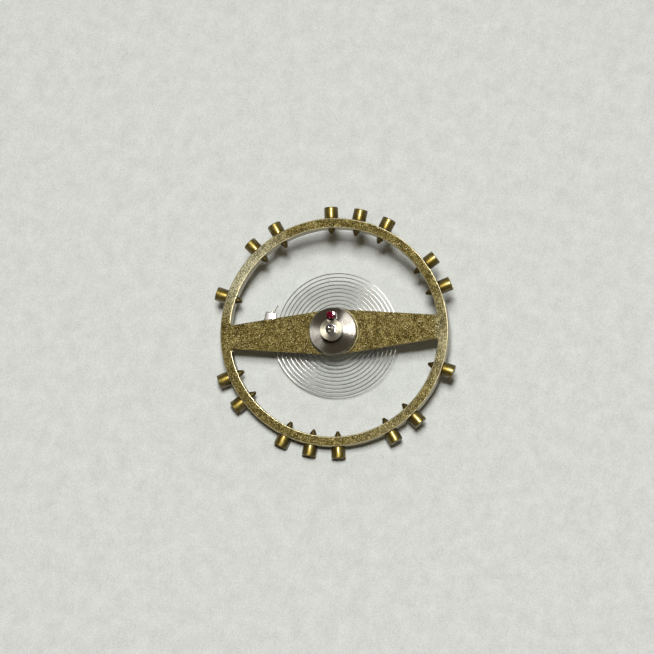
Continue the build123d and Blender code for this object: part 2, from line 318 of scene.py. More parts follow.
def prism(name, outline, bottom, top):
    """An upright solid over a closed outline of (x, y) points."""
    mesh = bmesh.new()
    low = [mesh.verts.new((x, y, bottom)) for x, y in outline]
    high = [mesh.verts.new((x, y, top)) for x, y in outline]
    mesh.faces.new(list(reversed(low)))
    mesh.faces.new(high)
    for number in range(len(outline)):
        after = (number + 1) % len(outline)
        mesh.faces.new((low[number], low[after], high[after], high[number]))
    return finished(name, mesh)


def inset(outline, distance):
    """A closed counterclockwise outline of (x, y) points moved inwards by a distance."""
    moved = []
    for number, point in enumerate(outline):
        before = Vector(outline[number - 1])
        after = Vector(outline[(number + 1) % len(outline)])
        point = Vector(point)
        first = (point - before).normalized()
        second = (after - point).normalized()
        inward = Vector((-first.y - second.y, first.x + second.x))
        inward /= 1 + first.dot(second)
        moved.append(tuple(point + inward * distance))
    return moved


def rounded_plate(name, outline, bottom, top, edge_round, steps=4):
    """An upright solid over a closed outline with rounded upper and lower edges."""
    mesh = bmesh.new()
    layers = []
    for number in range(2 * steps + 2):
        turn = math.radians(90 * min(number, 2 * steps + 1 - number) / steps)
        depth = edge_round * (1 - math.sin(turn))
        rise = edge_round * (1 - math.cos(turn))
        height = bottom + rise if number <= steps else top - rise
        layers.append([mesh.verts.new((x, y, height)) for x, y in inset(outline, depth)])
    for low, high in zip(layers, layers[1:]):
        for number in range(len(outline)):
            after = (number + 1) % len(outline)
            mesh.faces.new((low[number], low[after], high[after], high[number]))
    mesh.faces.new(list(reversed(layers[0])))
    mesh.faces.new(layers[-1])
    return finished(name, mesh)


def block(name, size, middle):
    """A box of the given size about its middle."""
    half_x, half_y, half_z = (length / 2 for length in size)
    corners = [(-half_x, -half_y), (half_x, -half_y), (half_x, half_y), (-half_x, half_y)]
    solid = prism(name, corners, -half_z, half_z)
    solid.data.transform(Matrix.Translation(middle))
    return solid


def finished(name, mesh):
    """The object of a bmesh, with its faces turned outwards and shaded smooth."""
    bmesh.ops.recalc_face_normals(mesh, faces=mesh.faces)
    data = bpy.data.meshes.new(name)
    mesh.to_mesh(data)
    mesh.free()
    data.shade_smooth()
    return new_piece(name, data)


def settled(piece):
    """Replaces a piece's mesh by what its modifiers make of it."""
    graph = bpy.context.evaluated_depsgraph_get()
    data = bpy.data.meshes.new_from_object(piece.evaluated_get(graph))
    old = piece.data
    piece.modifiers.clear()
    piece.data = data
    data.name = piece.name
    bpy.data.meshes.remove(old)
    return piece


def combine(piece, others, operation):
    """Joins other solids to a piece or cuts them from it, and deletes them."""
    for other in others:
        step = piece.modifiers.new(operation.lower(), "BOOLEAN")
        step.operation = operation
        step.solver = "EXACT"
        step.object = other
    bpy.context.view_layer.update()
    settled(piece)
    for other in others:
        data = other.data
        bpy.data.objects.remove(other)
        bpy.data.meshes.remove(data)
    return piece


def dressed(piece, body, node, material, edge_round=0.0):
    """Rounds a piece's sharp edges, gives it its material and lets it stand for a node."""
    if edge_round:
        rounding = piece.modifiers.new("rounded edges", "BEVEL")
        rounding.width = edge_round
        rounding.segments = 3
        rounding.limit_method = "ANGLE"
        rounding.angle_limit = math.radians(rounded_angle)
        rounding.use_clamp_overlap = True
        bpy.context.view_layer.update()
        settled(piece)
    piece.data.shade_smooth()
    piece.data.set_sharp_from_angle(angle=math.radians(sharp_angle))
    weighting = piece.modifiers.new("even shading", "WEIGHTED_NORMAL")
    weighting.keep_sharp = True
    piece.data.materials.clear()
    piece.data.materials.append(material)
    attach(piece, body)
    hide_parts(node)
    return piece


# Materials: each is made of nodes, with lengths of its pattern in millimetres

def vector_math(tree, operation, vector, other=None):
    """A node that works on a vector alone or with a fixed one."""
    node = tree.nodes.new("ShaderNodeVectorMath")
    node.operation = operation
    tree.links.new(vector, node.inputs[0])
    if other is not None:
        node.inputs[1].default_value = other
    return node


def component(tree, vector, axis):
    """One of a vector's three components."""
    split = tree.nodes.new("ShaderNodeSeparateXYZ")
    tree.links.new(vector, split.inputs[0])
    return split.outputs[axis]


def surface(name):
    """A new material with its shader and a point's place in millimetres."""
    material = bpy.data.materials.new(name)
    material.use_nodes = True
    tree = material.node_tree
    shader = tree.nodes["Principled BSDF"]
    where = tree.nodes.new("ShaderNodeTexCoord").outputs["Object"]
    scaled = vector_math(tree, "MULTIPLY", where, (1 / MM, 1 / MM, 1 / MM))
    return material, tree, shader, scaled.outputs["Vector"]


def noise(tree, where, size, detail=2.0, roughness=0.5):
    """Noise whose grains are about size across, in millimetres."""
    node = tree.nodes.new("ShaderNodeTexNoise")
    node.inputs["Scale"].default_value = 1 / size
    node.inputs["Detail"].default_value = detail
    node.inputs["Roughness"].default_value = roughness
    tree.links.new(where, node.inputs["Vector"])
    return node.outputs["Fac"]


def ramp(tree, value, stops):
    """A colour ramp of (position, colour) stops."""
    node = tree.nodes.new("ShaderNodeValToRGB")
    elements = node.color_ramp.elements
    while len(elements) < len(stops):
        elements.new(0.5)
    for element, (position, colour) in zip(elements, stops):
        element.position = position
        element.color = (*colour, 1.0)
    tree.links.new(value, node.inputs["Fac"])
    return node.outputs["Color"]


def spread(tree, value, low, high, new_low, new_high):
    """A value from one range moved to another, kept between its ends."""
    node = tree.nodes.new("ShaderNodeMapRange")
    node.inputs["From Min"].default_value = low
    node.inputs["From Max"].default_value = high
    node.inputs["To Min"].default_value = new_low
    node.inputs["To Max"].default_value = new_high
    tree.links.new(value, node.inputs["Value"])
    return node.outputs["Result"]


def bump(tree, shader, height, depth):
    """Raises the surface by a height map, depth in millimetres."""
    node = tree.nodes.new("ShaderNodeBump")
    node.inputs["Strength"].default_value = 1.0
    node.inputs["Distance"].default_value = depth * MM
    tree.links.new(height, node.inputs["Height"])
    tree.links.new(node.outputs["Normal"], shader.inputs["Normal"])


def mixed(tree, share, first, second):
    """A blend of two colours by a share. The node's colours are its inputs 6 and 7 and its
    output 2."""
    node = tree.nodes.new("ShaderNodeMix")
    node.data_type = "RGBA"
    tree.links.new(share, node.inputs["Factor"])
    for value, socket in ((first, node.inputs[6]), (second, node.inputs[7])):
        if isinstance(value, tuple):
            socket.default_value = (*value, 1.0)
        else:
            tree.links.new(value, socket)
    return node.outputs[2]


def facing(tree, axis):
    """How far a face looks along one of its own piece's axes, from -1 to 1."""
    return component(tree, tree.nodes.new("ShaderNodeTexCoord").outputs["Normal"], axis)


def math_node(tree, operation, *values):
    """A sum, product or the like of values, each a number or another node's output."""
    node = tree.nodes.new("ShaderNodeMath")
    node.operation = operation
    for value, socket in zip(values, node.inputs):
        if isinstance(value, (int, float)):
            socket.default_value = value
        else:
            tree.links.new(value, socket)
    return node.outputs[0]


def from_staff(tree, where):
    """A point's distance from the staff's axis, in millimetres."""
    flat = vector_math(tree, "MULTIPLY", where, (1, 1, 0))
    return vector_math(tree, "LENGTH", flat.outputs["Vector"]).outputs["Value"]


def cloudy(tree, shader, where, roughness):
    """Gives the shader a roughness that varies a little from place to place."""
    cloud = noise(tree, where, size=0.25)
    rough = spread(tree, cloud, 0.3, 0.7, roughness * 0.88, roughness * 1.15)
    tree.links.new(rough, shader.inputs["Roughness"])


def painted_highlight_stretches(tree, where):
    """How strongly the painted highlight lightens the ring at a point: the most at the middle of
    each stretch.
    """
    total = 0.0
    for angle, strength in painted_highlight_places:
        middle = place(rim_middle_radius, angle, ring_top) / MM
        distance = vector_math(tree, "DISTANCE", where, middle).outputs["Value"]
        share = spread(tree, distance, 0.0, painted_highlight_reach / MM, strength, 0.0)
        total = math_node(tree, "MAXIMUM", share, total)
    inner = (rim_inner_radius - rim_width / 2) / MM
    on_ring = spread(tree, from_staff(tree, where), inner, rim_inner_radius / MM, 0.0, 1.0)
    return math_node(tree, "MULTIPLY", total, on_ring)


def ring_brass():
    """Old gilt brass: matt, with a sandy grain and tiny bright specks, and burnished bright along
    its edges. A painted highlight makes it paler in a few stretches of the ring's top."""
    material, tree, shader, where = surface("ring_brass")
    shader.inputs["Metallic"].default_value = 0.9
    fine_share = 0.80
    fine = noise(tree, where, size=0.048, detail=3.0, roughness=0.65)
    blotches = noise(tree, where, size=0.40, detail=3.0, roughness=0.6)
    fine_part = math_node(tree, "MULTIPLY", fine, fine_share)
    grain = math_node(tree, "MULTIPLY_ADD", blotches, 1 - fine_share, fine_part)
    ground = ramp(tree, grain, [
        (0.42, (0.022, 0.013, 0.002)),
        (0.50, (0.080, 0.057, 0.010)),
        (0.57, (0.226, 0.186, 0.062)),
        (0.63, (0.345, 0.290, 0.122)),
    ])
    specks = spread(tree, noise(tree, where, size=0.060, detail=0.0), 0.76, 0.80, 0.0, 1.0)
    matt = mixed(tree, specks, ground, (0.860, 0.810, 0.520))
    # Painted highlight: the pale colours laid on the ring's top where the window's sheen falls
    pale = ramp(tree, grain, [
        (0.39, (0.100, 0.090, 0.040)),
        (0.50, (0.280, 0.265, 0.160)),
        (0.61, (0.780, 0.750, 0.560)),
    ])
    # The matt brass with the painted highlight mixed in over its stretches
    top = mixed(tree, painted_highlight_stretches(tree, where), matt, pale)
    rise = math_node(tree, "ABSOLUTE", facing(tree, "Z"))
    edge = spread(tree, rise, 0.985, 0.998, 1.0, 0.0)
    wall = spread(tree, rise, 0.10, 0.35, 1.0, 0.0)
    edged = mixed(tree, edge, top, (0.66, 0.60, 0.38))
    tree.links.new(mixed(tree, wall, edged, (0.21, 0.165, 0.075)), shader.inputs["Base Color"])
    tree.links.new(spread(tree, edge, 0.0, 1.0, 0.62, 0.29), shader.inputs["Roughness"])
    bump(tree, shader, fine, 0.006)
    return material


def screw_brass():
    """Turned brass with a polished skin and fine lines round its axis. Where it faces up, out of
    the ring's plane, it keeps its patina; down its sides it is painted dull brown as painted
    shade, and the part inside the ring is painted darker as painted shade too."""
    material, tree, shader, where = surface("screw_brass")
    shader.inputs["Metallic"].default_value = 1.0
    shader.inputs["Coat Weight"].default_value = 0.6
    shader.inputs["Coat Roughness"].default_value = 0.15
    patina = noise(tree, where, size=0.22, detail=3.0)
    top_patina = ramp(tree, patina, [
        (0.35, (0.185, 0.125, 0.025)),
        (0.50, (0.250, 0.190, 0.045)),
        (0.66, (0.320, 0.275, 0.090)),
    ])
    # Painted shade: the faces that turn away from the light above are painted dull brown
    upward = math_node(tree, "MULTIPLY", facing(tree, "X"), -1.0)
    side = spread(tree, upward, 0.55, 0.90, 1.0, 0.0)
    skin = mixed(tree, side, top_patina, (0.120, 0.080, 0.022))
    # Painted shade: the point and thread inside the ring are painted darker
    inside = spread(tree, component(tree, where, "Z"), (rim_inner_radius - thread_pitch) / MM,
                    rim_inner_radius / MM, 0.75, 0.0)
    tree.links.new(mixed(tree, inside, skin, (0.080, 0.060, 0.022)), shader.inputs["Base Color"])
    tree.links.new(spread(tree, patina, 0.3, 0.7, 0.38, 0.50), shader.inputs["Roughness"])
    drawn_out = vector_math(tree, "MULTIPLY", where, (0.06, 0.06, 1.0)).outputs["Vector"]
    bump(tree, shader, noise(tree, drawn_out, size=0.04), 0.0018)
    return material


def polished_metal(name, colour, roughness):
    """Polished metal, a little cloudy and finely pitted."""
    material, tree, shader, where = surface(name)
    shader.inputs["Metallic"].default_value = 1.0
    shader.inputs["Base Color"].default_value = (*colour, 1.0)
    cloudy(tree, shader, where, roughness)
    bump(tree, shader, noise(tree, where, size=0.04), 0.0002)
    return material


def lapped_steel(name, colour, roughness, line_share, tarnish):
    """Steel with level faces lapped in fine circular lines about the staff, which spread their
    shine. The darkest lines keep line_share of the colour, and tarnish takes a share of the
    shine. The upright walls have a colour of their own, the steel's pale grey; the level faces
    take the given colour, which for the impulse roller is painted dark as painted shade."""
    material, tree, shader, where = surface(name)
    shader.inputs["IOR"].default_value = 1.8
    shader.inputs["Anisotropic"].default_value = 1.0
    shader.inputs["Anisotropic Rotation"].default_value = 0.25
    tangent = tree.nodes.new("ShaderNodeTangent")
    tangent.direction_type = "RADIAL"
    tangent.axis = "Z"
    tree.links.new(tangent.outputs["Tangent"], shader.inputs["Tangent"])
    lines = noise(tree, from_staff(tree, where), size=0.06)
    worn = tuple(value * line_share for value in colour)
    lined = ramp(tree, lines, [(0.30, worn), (0.42, colour)])
    rise = math_node(tree, "ABSOLUTE", facing(tree, "Z"))
    wall = spread(tree, rise, 0.4, 0.8, 1.0, 0.0)
    tree.links.new(mixed(tree, wall, lined, wall_colour), shader.inputs["Base Color"])
    shine = spread(tree, wall, 0.0, 1.0, 1.0 - tarnish, 1.0)
    tree.links.new(shine, shader.inputs["Metallic"])
    cloudy(tree, shader, where, roughness)
    return material


def ruby():
    """Clear red jewel, its skin very finely uneven."""
    material, tree, shader, where = surface("ruby")
    shader.inputs["Base Color"].default_value = (0.70, 0.010, 0.09, 1.0)
    shader.inputs["Roughness"].default_value = 0.05
    shader.inputs["IOR"].default_value = 1.76
    shader.inputs["Transmission Weight"].default_value = 0.85
    bump(tree, shader, noise(tree, where, size=0.05), 0.0004)
    return material


def faded(tree, shader, where):
    """Blends the sheet into the backdrop far from the staff, where the camera sees it, also in a
    mirror or through the ruby."""
    path = tree.nodes.new("ShaderNodeLightPath")
    indirect = math_node(tree, "MAXIMUM", path.outputs["Is Glossy Ray"],
                         path.outputs["Is Transmission Ray"])
    seen = math_node(tree, "MAXIMUM", path.outputs["Is Camera Ray"], indirect)
    far = spread(tree, from_staff(tree, where), fade_start / MM, fade_end / MM, 0.0, 1.0)
    glow = tree.nodes.new("ShaderNodeEmission")
    glow.inputs["Color"].default_value = (*backdrop_colour, 1.0)
    blend = tree.nodes.new("ShaderNodeMixShader")
    tree.links.new(math_node(tree, "MULTIPLY", far, seen), blend.inputs[0])
    tree.links.new(shader.outputs[0], blend.inputs[1])
    tree.links.new(glow.outputs[0], blend.inputs[2])
    tree.links.new(blend.outputs[0], tree.nodes["Material Output"].inputs["Surface"])


def paper():
    """Pale card, a little green, with a faint mottling, which fades into the backdrop far out."""
    material, tree, shader, where = surface("paper")
    blotches = noise(tree, where, size=0.90, detail=6.0, roughness=0.85)
    grain = noise(tree, where, size=0.09, detail=2.0, roughness=0.8)
    tone = math_node(tree, "MULTIPLY_ADD", grain, 0.6, math_node(tree, "MULTIPLY", blotches, 0.6))
    colour = ramp(tree, tone, [(0.4, (0.520, 0.545, 0.520)), (0.8, (0.770, 0.805, 0.780))])
    tree.links.new(colour, shader.inputs["Base Color"])
    shader.inputs["Roughness"].default_value = 0.9
    shader.inputs["Specular IOR Level"].default_value = 0.2
    bump(tree, shader, noise(tree, where, size=0.12), 0.004)
    faded(tree, shader, where)
    return material


# Wheel

def arms_outline():
    """The two arms and the centre as one closed outline. Their ends lie inside the ring, and the
    corners between arm and ring, where the arm's edge meets the inner wall, are rounded."""
    stretch = math.hypot(1, arm_slope)
    reach = math.sqrt((rim_inner_radius * stretch) ** 2 - arm_half_width_at_staff ** 2)
    corner_y = (arm_slope * arm_half_width_at_staff + reach) / stretch ** 2
    corner_x = arm_half_width_at_staff - arm_slope * corner_y
    foot_angle = math.degrees(math.atan2(corner_y, corner_x) - arm_corner_round / rim_inner_radius)
    foot = tuple(place(rim_inner_radius, foot_angle).xy)
    inside = tuple(place(rim_middle_radius, foot_angle).xy)
    edge_heading = Vector((arm_slope, -1)).normalized()
    along = tuple(Vector((corner_x, corner_y)) + edge_heading * arm_corner_round)
    bend = softened([foot, (corner_x, corner_y), along], arm_corner_round, steps=6)[1:-1]
    quarter = [inside, foot] + bend + [along]
    right = quarter + [(arm_half_width_at_staff, 0)] + [(x, -y) for x, y in reversed(quarter)]
    return right + [(-x, -y) for x, y in right]


def boss_outline(steps=24):
    """The raised centre: a circle cut to the arms' edges."""
    edge_distance = arm_half_width_at_staff / math.hypot(1, arm_slope)
    cut_angle = math.degrees(math.atan(arm_slope) + math.acos(edge_distance / boss_radius))
    arc = []
    for number in range(steps + 1):
        angle = cut_angle + (180 - 2 * cut_angle) * number / steps
        arc.append(tuple(place(boss_radius, angle).xy))
    half = [(arm_half_width_at_staff, 0)] + arc
    return half + [(-x, -y) for x, y in half]


def balance_wheel():
    """The ring, its arms and the raised centre, joined and bored for the staff."""
    section = ring_section(rim_inner_radius, rim_radius, rim_bottom, ring_top)
    loop = softened_loop(section, ring_edge_round)
    ring = lathe("balance_wheel_body", loop, segments=360)
    arms = rounded_plate("arms", arms_outline(), arm_bottom, ring_top, arm_edge_round)
    boss_low = ring_top - arm_thickness / 2
    boss = rounded_plate("boss", boss_outline(), boss_low, boss_top, boss_edge_round)
    combine(ring, [arms, boss], "UNION")
    seat = cylinder("seat", seat_radius, rim_bottom, boss_top + cut_overrun, segments=128)
    return combine(ring, [seat], "DIFFERENCE")


# Screws

def screw_outline():
    """Half outline of a balance screw along its axis, from the point inside the ring to the end
    of its head. The point carries a few turns of thread."""
    point_end = rim_inner_radius - screw_reach
    points = [(0, point_end)]
    points += softened([
        (0, point_end),
        (screw_tip_radius, point_end),
        (screw_tip_radius + thread_depth, point_end + thread_depth),
    ], thread_depth)[1:-1]
    threads = int((screw_cone_length - 2 * thread_depth) / thread_pitch)
    for number in range(threads):
        low = point_end + thread_depth + number * thread_pitch
        share = (low + thread_pitch / 2 - point_end) / screw_cone_length
        crest = screw_tip_radius + (screw_shank_radius - screw_tip_radius) * share
        points.append((crest - thread_depth, low))
        points.append((crest, low + thread_pitch * crest_start_share))
        points.append((crest, low + thread_pitch * crest_end_share))
    points.append((screw_shank_radius - thread_depth, point_end + screw_cone_length))
    points.append((screw_shank_radius, rim_inner_radius))
    points.append((screw_shank_radius, rim_radius))
    points += softened([
        (screw_shank_radius, rim_radius),
        (screw_head_radius, rim_radius),
        (screw_head_radius, screw_head_end),
        (0, screw_head_end),
    ], screw_edge_round, steps=4)[1:]
    return points


def screw_angles():
    """The angle of each filled screw place, once round the ring."""
    half_count = screw_place_count // 2
    places = [k + half for half in (0, half_count) for k in filled_places]
    return [first_screw_angle - 360 * k / screw_place_count for k in places]


def slot_turn(number):
    """How far the slot of a screw is turned from upright."""
    return 90 + screw_slot_lean * math.sin(math.radians(number * screw_slot_step))


def balance_screw(name, angle, turn):
    """One screw: a turned body along its own Z axis, slotted and laid in its place."""
    screw = lathe(name, screw_outline(), segments=72)
    slot_size = (3 * screw_head_radius, screw_slot_width, 2 * screw_slot_depth)
    slot = block("slot", slot_size, (0, 0, screw_head_end))
    slot.data.transform(Matrix.Rotation(math.radians(turn), 4, "Z"))
    combine(screw, [slot], "DIFFERENCE")
    lift = Matrix.Translation((0, 0, screw_middle))
    lie = Matrix.Rotation(math.pi / 2, 4, "Y")
    screw.matrix_world = lift @ Matrix.Rotation(math.radians(angle), 4, "Z") @ lie
    return screw


def balance_screws(material):
    """The sixteen screws, each with a slot of its own lean."""
    for number, angle in enumerate(screw_angles()):
        node = f"balance_screw_{number + 1:02d}"
        screw = balance_screw(node + "_body", angle, slot_turn(number))
        dressed(screw, "balance", node, material)


# Staff and rollers

def staff_outline(lower_steps=12, upper_steps=16):
    """Half outline of the staff from pivot tip to pivot tip. The lower pivot flares out in an
    arc of an ellipse and the upper one in a parabola, both in line with their pivot."""
    roller_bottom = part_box("impulse_roller")[0].z
    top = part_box("balance_staff")[1].z
    tip = [(0, 0), (pivot_radius, 0), (pivot_radius, pivot_length)]
    points = softened(tip, pivot_edge_round, steps=5)[:-1]
    full_flare = 1 - math.sqrt(1 - lower_flare_share)
    for number in range(lower_steps + 1):
        share = number / lower_steps
        flare = (1 - math.sqrt(1 - lower_flare_share * share ** 2)) / full_flare
        points.append((pivot_radius + (lower_cone_radius - pivot_radius) * flare,
                       pivot_length + (collet_seat_bottom - pivot_length) * share))
    points += softened([
        points[-1],
        (collet_seat_radius, collet_seat_bottom),
        (collet_seat_radius, collet_seat_top),
        (neck_radius, collet_seat_top),
        (neck_radius, neck_top),
        (rivet_radius, neck_top),
        (rivet_radius, arm_bottom),
        (wheel_seat_radius, arm_bottom),
        (wheel_seat_radius, boss_top),
        (hub_radius, boss_top),
        (hub_radius, roller_bottom),
        (roller_seat_radius, roller_bottom),
        (roller_seat_radius, roller_seat_top),
        (upper_cone_radius, roller_seat_top),
    ], staff_edge_round)[1:]
    cone_top = top - pivot_length
    for number in range(1, upper_steps + 1):
        share = number / upper_steps
        points.append((pivot_radius + (upper_cone_radius - pivot_radius) * (1 - share) ** 2,
                       roller_seat_top + (cone_top - roller_seat_top) * share))
    tip = [(pivot_radius, cone_top), (pivot_radius, top), (0, top)]
    return points + softened(tip, pivot_edge_round, steps=5)[1:]


def jewel_outline(gap, steps=40):
    """The D of the jewel, its flat away from the staff, grown by a gap."""
    radius = jewel_radius + gap
    flat = jewel_flat_distance + gap
    half_open = math.degrees(math.acos(flat / radius))
    points = []
    for number in range(steps + 1):
        angle = half_open + (360 - 2 * half_open) * number / steps
        point = place(radius, angle)
        points.append((jewel_place + point.x, point.y))
    return points


def impulse_roller():
    """The large roller, a disc on a neck, with the jewel's hole."""
    low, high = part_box("impulse_roller")
    top = low.z + impulse_roller_thickness
    loop = softened_loop([
        (roller_bore_radius, low.z),
        (impulse_roller_radius, low.z),
        (impulse_roller_radius, top),
        (roller_neck_radius, top),
        (roller_neck_radius, high.z),
        (roller_bore_radius, high.z),
    ], roller_edge_round)
    roller = lathe("impulse_roller_body", loop, segments=192)
    hole = prism("jewel_hole", jewel_outline(jewel_hole_gap), low.z - cut_overrun,
                 top + cut_overrun)
    return combine(roller, [hole], "DIFFERENCE")


def safety_roller():
    """The small roller with its crescent."""
    low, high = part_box("safety_roller")
    section = ring_section(roller_bore_radius, safety_roller_radius, low.z, high.z)
    roller = lathe("safety_roller_body", section, segments=160)
    cut = cylinder("crescent", crescent_radius, low.z - cut_overrun, high.z + cut_overrun)
    shift = safety_roller_radius + crescent_radius - crescent_depth
    cut.data.transform(Matrix.Translation((shift, 0, 0)))
    return combine(roller, [cut], "DIFFERENCE")


def impulse_jewel():
    """The ruby, a D-shaped rod."""
    low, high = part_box("impulse_jewel")
    return prism("impulse_jewel_body", jewel_outline(0), low.z, high.z)


# Hairspring

def inner_line():
    """Start and end of the spring's straight inner end, along its middle line."""
    heading = place(1, collet_spoke + 90)
    chord = math.sqrt(collet_radius ** 2 - inner_line_distance ** 2)
    start = place(inner_line_distance, collet_spoke) + heading * (chord + inner_end_length)
    bend_centre = place(bend_centre_distance, coils_end_angle)
    return start, bend_centre + place(inner_bend_radius, collet_spoke)


def coil_arcs():
    """The coils as half turns about two centres in turn, each wider than the one before."""
    outward = place(1, coils_end_angle)
    pitch = 2 * (coils_end_radius - coils_start_radius) / coil_half_turns
    arcs = []
    for number in range(coil_half_turns):
        side = 1 if number % 2 == 0 else -1
        radius = coils_start_radius + pitch / 4 + number * pitch / 2
        start_angle = coils_end_angle if side == 1 else coils_end_angle + 180
        arcs.append((outward * (-side * pitch / 4), radius, start_angle, 180))
    return arcs


def arc_between(point, inward, other):
    """Centre and radius of the arc through two points whose centre lies inward of the first,
    and the angle of the second about that centre."""
    across = other - point
    radius = across.dot(across) / (2 * across.dot(inward))
    centre = point + inward * radius
    spoke = other - centre
    return centre, radius, math.degrees(math.atan2(spoke.y, spoke.x))


def outer_arcs():
    """Two arcs that lead on smoothly from the last coil to the stud and past it to the loose
    end. They meet where their tangents from the coil and from the stud are equally long."""
    start = place(coils_end_radius, coils_end_angle)
    end = place(stud_point_radius, stud_point_angle)
    start_heading = place(1, coils_end_angle - 90)
    end_heading = place(1, stud_point_angle - 90)
    across = end - start
    spare = 2 * (1 - start_heading.dot(end_heading))
    slope = across.dot(start_heading + end_heading)
    reach = (math.sqrt(slope ** 2 + spare * across.dot(across)) - slope) / spare
    middle = (start + end + (start_heading - end_heading) * reach) / 2
    centre, radius, middle_angle = arc_between(start, place(-1, coils_end_angle), middle)
    arcs = [(centre, radius, coils_end_angle, (coils_end_angle - middle_angle) % 360)]
    centre, radius, middle_angle = arc_between(end, place(-1, stud_point_angle), middle)
    sweep = (middle_angle - stud_point_angle) % 360 + math.degrees(tail_length / radius)
    arcs.append((centre, radius, middle_angle, sweep))
    return arcs


def spring_arcs():
    """All arcs of the spring's middle line seen from above, from the collet out, each a centre,
    a radius, a start angle and a clockwise sweep."""
    bend_centre = place(bend_centre_distance, coils_end_angle)
    bend = (bend_centre, inner_bend_radius, collet_spoke, inner_bend)
    return [bend] + coil_arcs() + outer_arcs()


def spring_points():
    """Points of the middle line, each with its outward direction and its way along, and the
    length of the whole line."""
    start, end = inner_line()
    run = end - start
    found = []
    count = math.ceil(run.length / spring_step)
    for number in range(count):
        share = number / count
        found.append((start + run * share, place(1, collet_spoke), run.length * share))
    way = run.length
    for centre, radius, start_angle, sweep in spring_arcs():
        length = math.radians(sweep) * radius
        count = math.ceil(length / spring_step)
        for number in range(count):
            share = number / count
            outward = place(1, start_angle - sweep * share)
            found.append((centre + outward * radius, outward, way + length * share))
        way += length
    outward = place(1, start_angle - sweep)
    found.append((centre + outward * radius, outward, way))
    return found, way


def blade_section(corner_steps=4):
    """The section of the blade as (outward, up) points: a flat strip with round edges."""
    half_width = blade_thickness / 2
    half_height = blade_height / 2
    points = []
    for sign_x, sign_y, first in ((1, 1, 0), (-1, 1, 90), (-1, -1, 180), (1, -1, 270)):
        centre_x = sign_x * (half_width - blade_edge_round)
        centre_y = sign_y * (half_height - blade_edge_round)
        for number in range(corner_steps + 1):
            turn = math.radians(first + 90 * number / corner_steps)
            points.append((centre_x + blade_edge_round * math.cos(turn),
                           centre_y + blade_edge_round * math.sin(turn)))
    return points


def hairspring():
    """The spring as one swept strip, and for each vertex the share of its bend: 0 from the stud
    on to the loose end, 1 from the inner end to just past the bend into the first coil."""
    points, length = spring_points()
    section = blade_section()
    mesh = bmesh.new()
    shares = []
    rings = []
    stud_way = length - tail_length
    collet_way = 3 * collet_radius
    for middle, outward, way in points:
        share = (stud_way - way) / (stud_way - collet_way)
        ring = []
        for across, up in section:
            spot = middle + outward * across
            ring.append(mesh.verts.new((spot.x, spot.y, spring_middle + up)))
            shares.append(min(max(share, 0.0), 1.0))
        rings.append(ring)
    for low, high in zip(rings, rings[1:]):
        for number in range(len(section)):
            after = (number + 1) % len(section)
            mesh.faces.new((low[number], low[after], high[after], high[number]))
    mesh.faces.new(list(reversed(rings[0])))
    mesh.faces.new(rings[-1])
    spring = finished("hairspring_blade", mesh)
    spring.data.set_sharp_from_angle(angle=math.radians(sharp_angle / 2))
    return spring, shares


def wind(spring, shares):
    """Moves each vertex for a moment to its share of the bend, as (share, 0, 0), bakes the
    spring's placing into its mesh, and then puts every vertex back where it was."""
    vertices = spring.data.vertices
    places = [vertex.co.copy() for vertex in vertices]
    for vertex, share in zip(vertices, shares):
        vertex.co = (share, 0, 0)
    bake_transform(spring)
    for vertex, spot in zip(vertices, places):
        vertex.co = spot
    spring.data.update()


# Collet, stud and pins

def lying_cylinder(name, radius, middle, angle, length, far_radius=None):
    """A level cylinder or taper about a middle point, along a direction given by its angle."""
    far_radius = radius if far_radius is None else far_radius
    half = length / 2
    outline = [(0, -half), (radius, -half), (far_radius, half), (0, half)]
    rod = lathe(name, softened(outline, pin_round_share * far_radius, steps=4), segments=64)
    lie = Matrix.Rotation(math.radians(angle), 4, "Z") @ Matrix.Rotation(math.pi / 2, 4, "Y")
    rod.data.transform(Matrix.Translation(middle) @ lie)
    return rod


def collet():
    """The split collet, with the hole that holds the spring's inner end and its pin."""
    low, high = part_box("collet")
    section = ring_section(collet_bore_radius, collet_radius, low.z, high.z)
    ring = lathe("collet_body", section, segments=160)
    middle = place(collet_hole_distance, collet_spoke, spring_middle)
    hole = lying_cylinder("hole", spring_hole_radius, middle, collet_spoke + 90, 3 * collet_radius)
    slit_middle = Vector((-collet_radius, 0, spring_middle))
    slit = block("slit", (2 * collet_radius, collet_slit_width, 4 * blade_height), slit_middle)
    slit.data.transform(Matrix.Rotation(math.radians(collet_spoke), 4, "Z"))
    return combine(ring, [hole, slit], "DIFFERENCE")


def hairspring_stud():
    """The stud: its square head with the spring's hole, and its round post."""
    width = stud_head_inner_width + stud_head_outer_width
    head_height = 2 * stud_head_inner_width
    middle = ((stud_head_outer_width - stud_head_inner_width) / 2, 0, 0)
    head = block("hairspring_stud_body", (width, stud_head_length, head_height), middle)
    post_bottom = -stud_head_inner_width - stud_post_length
    combine(head, [cylinder("post", stud_post_radius, post_bottom, 0)], "UNION")
    hole = lying_cylinder("hole", spring_hole_radius, (0, 0, 0), 90, 3 * stud_head_length)
    combine(head, [hole], "DIFFERENCE")
    axis = place(stud_point_radius + blade_offset, stud_point_angle, spring_middle)
    turn = Matrix.Rotation(math.radians(stud_point_angle), 4, "Z")
    head.data.transform(Matrix.Translation(axis) @ turn)
    return head


def stud_pin():
    """The taper pin that wedges the spring in the stud."""
    middle = place(stud_point_radius + blade_offset + pin_offset, stud_point_angle, spring_middle)
    length = stud_head_length + 2 * pin_end_length
    return lying_cylinder("stud_pin_body", pin_thick_radius, middle, stud_point_angle + 90,
                          length, pin_thin_radius)


